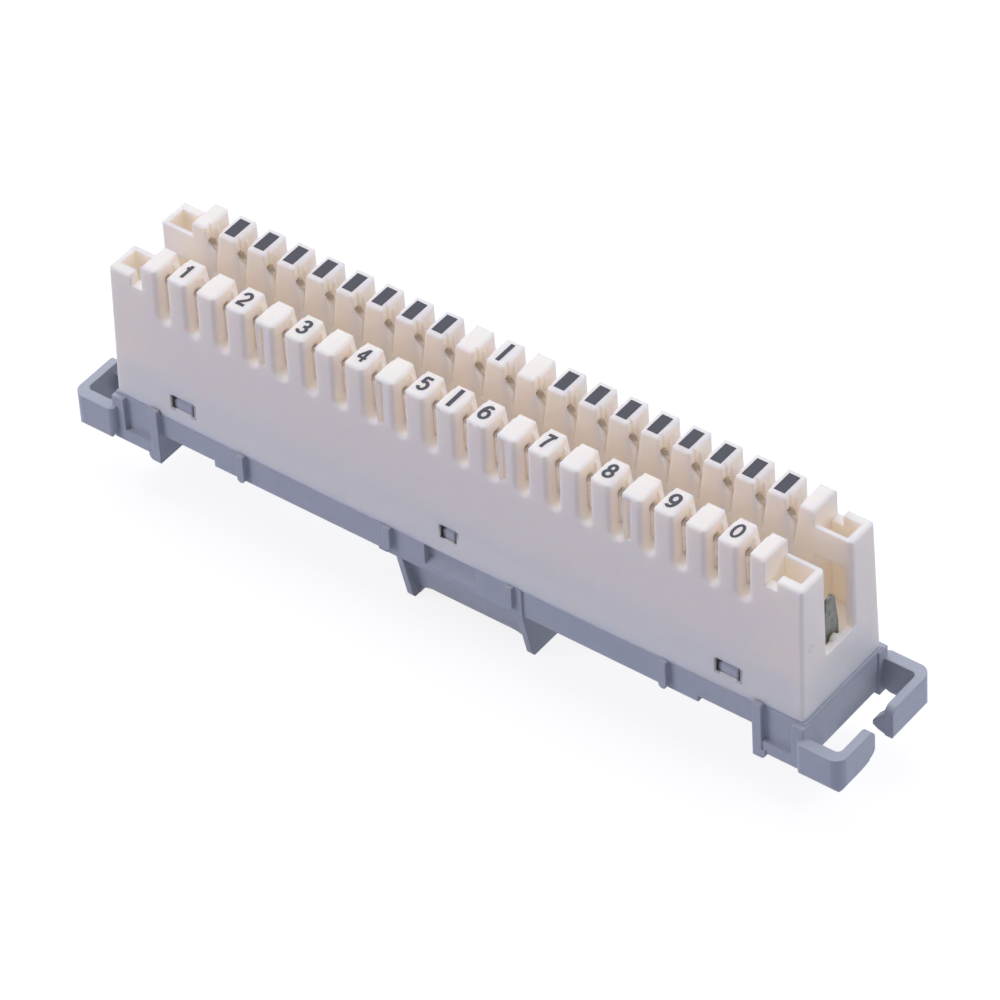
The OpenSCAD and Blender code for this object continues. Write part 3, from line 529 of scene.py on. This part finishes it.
def ink_finish(settings):
    """Pad-printed ink: charcoal with a faint uneven cover."""
    material, tree, place, shader = new_finish("pad_print_ink")
    cover = span(tree, noise(tree, place, INK_COVER, 4.0, 0.6), 0.45, 0.8)
    colour = blend(tree, maths(tree, "MULTIPLY", cover, 0.35), settings.ink_colour,
                   tinted(settings.ink_colour, 1.5))
    tree.links.new(colour, shader.inputs["Base Color"])
    normal = tree.nodes.new("ShaderNodeNewGeometry").outputs["Normal"]
    tree.links.new(bumped(tree, normal, noise(tree, place, INK_GRAIN, 3.0), 0.1, 0.01 * MM),
                   shader.inputs["Normal"])
    shader.inputs["Roughness"].default_value = 0.5
    return material


# ---- Print ----

def finger_places():
    """X of each finger between two slots, from the contacts' places."""
    slots = np.array([sum(corner.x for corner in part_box(f"contact_front_{number:02d}")) / 2
                      for number in range(1, SLOTS + 1)])
    return (slots[:-1] + slots[1:]) / 2


def arc(centre_u, centre_v, radius_u, radius_v, start, end, steps=28):
    """Points of an ellipse's arc: centre plus radius times cosine and sine of an even turn in degrees."""
    turn = np.radians(np.linspace(start, end, steps))
    return np.stack([centre_u + radius_u * np.cos(turn), centre_v + radius_v * np.sin(turn)], axis=1)


def line(start, end, steps=3):
    """Points along a straight run: start plus the run times an even share from 0 to 1."""
    start, end = np.array(start, float), np.array(end, float)
    return start + (end - start) * np.linspace(0, 1, steps)[:, None]


def numeral_strokes(digit):
    """Centre lines of one numeral in a box from -1 to 1 both ways."""
    loop = arc(0, -0.36, 1, 0.64, 0, 360, 40)
    tail = np.concatenate([arc(0.12, -0.20, 1.12, 1.2, 180, 96), arc(0.12, 0.52, 0.78, 0.48, 90, 28)[1:]])
    strokes = {
        1: [line((0.15, -1.16), (0.15, 1.16)),
            np.concatenate([line((-0.72, 0.52), (-0.42, 0.54)), arc(-0.42, 1.16, 0.57, 0.62, -88, -4, 10)])],
        2: [np.concatenate([arc(0, 0.42, 0.95, 0.58, 172, -28), line((0.60, -0.06), (-0.95, -0.86))]),
            line((-1.12, -1), (1.12, -1))],
        3: [arc(0, 0.50, 0.86, 0.50, 160, -90), arc(0, -0.47, 0.98, 0.53, 90, -165),
            line((-0.34, 0.03), (0.1, 0.03))],
        4: [line((0.42, -1.16), (0.42, 1.10)), line((0.34, 1.0), (-1.0, -0.34)),
            line((-1.14, -0.46), (1.14, -0.46))],
        5: [line((-0.82, 1), (0.94, 1)), line((-0.66, 1.02), (-0.82, 0.02)),
            arc(-0.02, -0.36, 0.96, 0.64, 146, -158)],
        6: [loop, tail],
        7: [line((-1.12, 1), (1.1, 1)), np.stack([
            0.95 - 1.35 * np.sin(np.linspace(0, 1, 16) * math.pi / 2),
            0.98 - 2.14 * (1 - np.cos(np.linspace(0, 1, 16) * math.pi / 2)) ** 0.9], axis=1)],
        8: [arc(0, 0.50, 0.80, 0.50, 0, 360, 36), arc(0, -0.48, 0.98, 0.52, 0, 360, 40)],
        9: [-loop, -tail],
        0: [arc(0, 0, 1, 1, 0, 360, 48)],
    }
    return strokes[digit]


def ribbon(path, width, low, high):
    """Slab carried along a flat path: at each point, half the width to either side along the normal,
    at a low and a high level. The normal is the mean direction of the two runs turned a quarter round."""
    closed = np.linalg.norm(path[0] - path[-1]) < 1e-9
    points = path[:-1] if closed else path
    ahead = np.roll(points, -1, axis=0) - points
    behind = points - np.roll(points, 1, axis=0)
    if not closed:
        ahead[-1], behind[0] = behind[-1], ahead[0]
    ahead = ahead / np.linalg.norm(ahead, axis=1)[:, None]
    behind = behind / np.linalg.norm(behind, axis=1)[:, None]
    along = ahead + behind
    along /= np.linalg.norm(along, axis=1)[:, None]
    normal = np.stack([-along[:, 1], along[:, 0]], axis=1)
    count = len(points)
    corners = np.empty((count, 4, 3))
    for corner, (side, level) in enumerate(((1, low), (-1, low), (-1, high), (1, high))):
        corners[:, corner, :2] = points + side * normal * width / 2
        corners[:, corner, 2] = level
    here = np.arange(count if closed else count - 1)[:, None] * 4
    there = (here + 4) % (4 * count)
    side = np.arange(4)[None, :]
    after = (side + 1) % 4
    faces = np.stack([here + side, here + after, there + after, there + side], axis=2).reshape(-1, 4)
    if not closed:
        last = 4 * (count - 1)
        faces = np.concatenate([faces, [[3, 2, 1, 0], [last, last + 1, last + 2, last + 3]]])
    return corners.reshape(-1, 3), faces


def mesh_piece(name, parts, material):
    """One object from several closed bodies, riding on the block."""
    starts = np.cumsum([0] + [len(vertices) for vertices, _ in parts[:-1]])
    vertices = np.concatenate([vertices for vertices, _ in parts])
    faces = np.concatenate([faces + start for (_, faces), start in zip(parts, starts)])
    mesh = bpy.data.meshes.new(name)
    mesh.from_pydata(vertices.tolist(), [], faces.tolist())
    mesh.validate()
    mesh.update()
    mesh.materials.append(material)
    piece = bpy.data.objects.new(name, mesh)
    bpy.context.scene.collection.objects.link(piece)
    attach(piece, "root")
    return piece


def ink_levels(settings):
    """Lower level, sunk into the plastic, and upper level of the print."""
    return FINGER_TOP - INK_SINK, FINGER_TOP + settings.ink_height


# ---- Stage ----

def floor_finish(stage):
    """Pale floor: diffuse for the light, and near white to the eye so that only a faint shadow shows."""
    material = bpy.data.materials.new("studio_floor")
    material.use_nodes = True
    tree = material.node_tree
    tree.nodes.clear()
    seen = seen_share(tree)
    ground = put(tree, "ShaderNodeBsdfDiffuse", {"Color": (*stage.floor_colour, 1)}).outputs[0]
    shade = put(tree, "ShaderNodeBsdfDiffuse", {"Color": FLOOR_SHADE}).outputs[0]
    glow = put(tree, "ShaderNodeEmission", {"Color": (1, 1, 1, 1), "Strength": FLOOR_GLOW}).outputs[0]
    bright = put(tree, "ShaderNodeAddShader", {0: shade, 1: glow}).outputs[0]
    mixed = put(tree, "ShaderNodeMixShader", {0: seen, 1: ground, 2: bright}).outputs[0]
    put(tree, "ShaderNodeOutputMaterial", {"Surface": mixed})
    return material


def seen_share(tree):
    """1 for what the camera sees directly, in gloss or through glass, and 0 for light on its way."""
    path = tree.nodes.new("ShaderNodeLightPath").outputs
    return strongest(tree, [path["Is Camera Ray"], path["Is Glossy Ray"], path["Is Transmission Ray"]])


def studio_sky(stage):
    """World: plain white to the eye, as light a cool fill that is weaker from its dim side."""
    world = bpy.data.worlds.new("studio")
    bpy.context.scene.world = world
    world.use_nodes = True
    tree = world.node_tree
    tree.nodes.clear()
    way = tree.nodes.new("ShaderNodeTexCoord").outputs["Generated"]
    near = put(tree, "ShaderNodeVectorMath", {0: way, 1: DIM_SIDE}, operation="DOT_PRODUCT").outputs["Value"]
    strength = span(tree, near, 0.3, 1.0, stage.sky_strength, stage.sky_strength * stage.dim_share)
    fill = put(tree, "ShaderNodeBackground",
               {"Color": (*stage.sky_colour, 1), "Strength": strength}).outputs[0]
    white = put(tree, "ShaderNodeBackground", {"Color": (1, 1, 1, 1), "Strength": 1.0}).outputs[0]
    mixed = put(tree, "ShaderNodeMixShader", {0: seen_share(tree), 1: fill, 2: white}).outputs[0]
    put(tree, "ShaderNodeOutputWorld", {"Surface": mixed})


def aim_lamp(name, place, size, power, colour):
    """A square lamp at a place, facing the middle of the block's foot."""
    lamp = bpy.data.lights.new(name, "AREA")
    lamp.shape = "SQUARE"
    lamp.size, lamp.energy, lamp.color = size, power, colour
    held = bpy.data.objects.new(name, lamp)
    held.location = place
    held.rotation_euler = (-Vector(place)).to_track_quat("-Z", "Y").to_euler()
    bpy.context.scene.collection.objects.link(held)


# ---- Operators ----

class WB_OT_camera(bpy.types.Operator):
    """Sets the camera that looks down on the numbered row."""
    bl_idname = "wiring_block.camera"
    bl_label = "Place camera"

    def execute(self, context):
        lens = bpy.data.cameras.new("camera")
        lens.lens = context.scene.wb_stage.lens
        lens.sensor_width = CAMERA_SENSOR
        lens.clip_start, lens.clip_end = CAMERA_NEAR, CAMERA_FAR
        camera = bpy.data.objects.new("camera", lens)
        camera.location = CAMERA_PLACE
        camera.rotation_euler = Euler([math.radians(turn) for turn in CAMERA_TURN])
        context.scene.collection.objects.link(camera)
        context.scene.camera = camera
        return {"FINISHED"}


class WB_OT_housing(bpy.types.Operator):
    """Finishes the housing in ivory plastic."""
    bl_idname = "wiring_block.housing"
    bl_label = "Finish housing"

    def execute(self, context):
        dress(["housing"], housing_finish(context.scene.wb_plastic))
        return {"FINISHED"}


class WB_OT_base(bpy.types.Operator):
    """Finishes the clip-on base in blue-grey plastic."""
    bl_idname = "wiring_block.base"
    bl_label = "Finish base"

    def execute(self, context):
        dress(["base"], base_finish(context.scene.wb_plastic))
        return {"FINISHED"}


class WB_OT_contacts(bpy.types.Operator):
    """Finishes every contact in plated sheet."""
    bl_idname = "wiring_block.contacts"
    bl_label = "Finish contacts"

    def execute(self, context):
        names = [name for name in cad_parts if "contact" in name]
        if len(names) < 2 * SLOTS:
            raise RuntimeError("the frame has too few contacts")
        metal = context.scene.wb_metal
        earth = [name for name in names if name.startswith("earth")]
        dress(earth, contact_finish(metal, "earth_tongue", metal.earth, metal.earth_tarnish))
        dress([name for name in names if name not in earth],
              contact_finish(metal, "plated_contact", metal.plating, metal.tarnish))
        return {"FINISHED"}


class WB_OT_numerals(bpy.types.Operator):
    """Prints the numerals 1 to 0 on every second finger of the front row."""
    bl_idname = "wiring_block.numerals"
    bl_label = "Print numerals"

    def execute(self, context):
        settings = context.scene.wb_print
        ink = ink_finish(settings)
        low, high = ink_levels(settings)
        half = np.array([settings.digit_width - settings.stroke, settings.digit_height - settings.stroke]) / 2
        for order, centre in enumerate(finger_places()[::2]):
            digit = (order + 1) % 10
            middle = np.array([centre, -settings.row_offset])
            stroke_width = settings.stroke * (FINE_STROKE if digit in FINE_DIGITS else 1.0)
            parts = [ribbon(stroke * half + middle, stroke_width, low, high + level * STROKE_STEP)
                     for level, stroke in enumerate(numeral_strokes(digit))]
            mesh_piece(f"numeral_{digit}", parts, ink)
        return {"FINISHED"}


class WB_OT_markers(bpy.types.Operator):
    """Prints the dark markers of the back row and the thin bars at mid-block."""
    bl_idname = "wiring_block.markers"
    bl_label = "Print markers"

    def execute(self, context):
        settings = context.scene.wb_print
        ink = bpy.data.materials.get("pad_print_ink") or ink_finish(settings)
        low, high = ink_levels(settings)
        places = finger_places()
        middle = len(places) // 2
        marks = [at for order, at in enumerate(places) if abs(order - middle) > 1]
        lengthwise = np.array([[0, -0.5], [0, 0.5]])

        def bars(centres, side, length, width):
            return [ribbon(lengthwise * length + np.array([at, side * settings.row_offset]), width, low, high)
                    for at in centres]

        mesh_piece("back_markers", bars(marks, 1, settings.mark_length, settings.mark_width), ink)
        for row, side in zip(ROWS, (-1, 1)):
            mesh_piece(f"middle_bar_{row}",
                       bars([places[middle]], side, settings.bar_length, settings.bar_width), ink)
        return {"FINISHED"}


class WB_OT_stage(bpy.types.Operator):
    """Lays the pale floor and hangs the soft lamps."""
    bl_idname = "wiring_block.stage"
    bl_label = "Set stage"

    def execute(self, context):
        stage = context.scene.wb_stage
        context.scene.view_settings.view_transform = "Standard"
        studio_sky(stage)
        half = stage.floor_size / 2
        mesh = bpy.data.meshes.new("floor")
        corners = [(-half, -half, 0), (half, -half, 0), (half, half, 0), (-half, half, 0)]
        mesh.from_pydata(corners, [], [(0, 1, 2, 3)])
        mesh.materials.append(floor_finish(stage))
        floor = bpy.data.objects.new("floor", mesh)
        context.scene.collection.objects.link(floor)
        aim_lamp("key", (*KEY_PLACE, stage.key_height), stage.key_size, stage.key_power, KEY_COLOUR)
        for name, place, power, colour in SIDE_LAMPS:
            aim_lamp(name, place, SIDE_LAMP_SIZE, power, colour)
        return {"FINISHED"}


STEPS = (WB_OT_camera, WB_OT_stage, WB_OT_housing, WB_OT_base, WB_OT_contacts, WB_OT_numerals, WB_OT_markers)


class WB_PT_panel(bpy.types.Panel):
    """Steps that dress the block, and their settings."""
    bl_idname = "WB_PT_panel"
    bl_label = "Wiring Block"
    bl_space_type = "VIEW_3D"
    bl_region_type = "UI"
    bl_category = "Wiring Block"

    def draw(self, context):
        for step in STEPS:
            self.layout.operator(step.bl_idname)
        for group, kind in SETTINGS.items():
            box = self.layout.box()
            for field in kind.__annotations__:
                box.prop(getattr(context.scene, group), field)


CLASSES = (*SETTINGS.values(), *STEPS, WB_PT_panel)


def register():
    """Registers the classes and hangs the settings on the scene."""
    for kind in CLASSES:
        bpy.utils.register_class(kind)
    for group, kind in SETTINGS.items():
        setattr(bpy.types.Scene, group, bpy.props.PointerProperty(type=kind))


def unregister():
    """Takes the settings and classes away again."""
    for group in SETTINGS:
        delattr(bpy.types.Scene, group)
    for kind in reversed(CLASSES):
        bpy.utils.unregister_class(kind)


def main():
    """Runs every step in order."""
    register()
    for step in STEPS:
        group, _, name = step.bl_idname.partition(".")
        getattr(getattr(bpy.ops, group), name)()


if __name__ == "__main__":
    main()
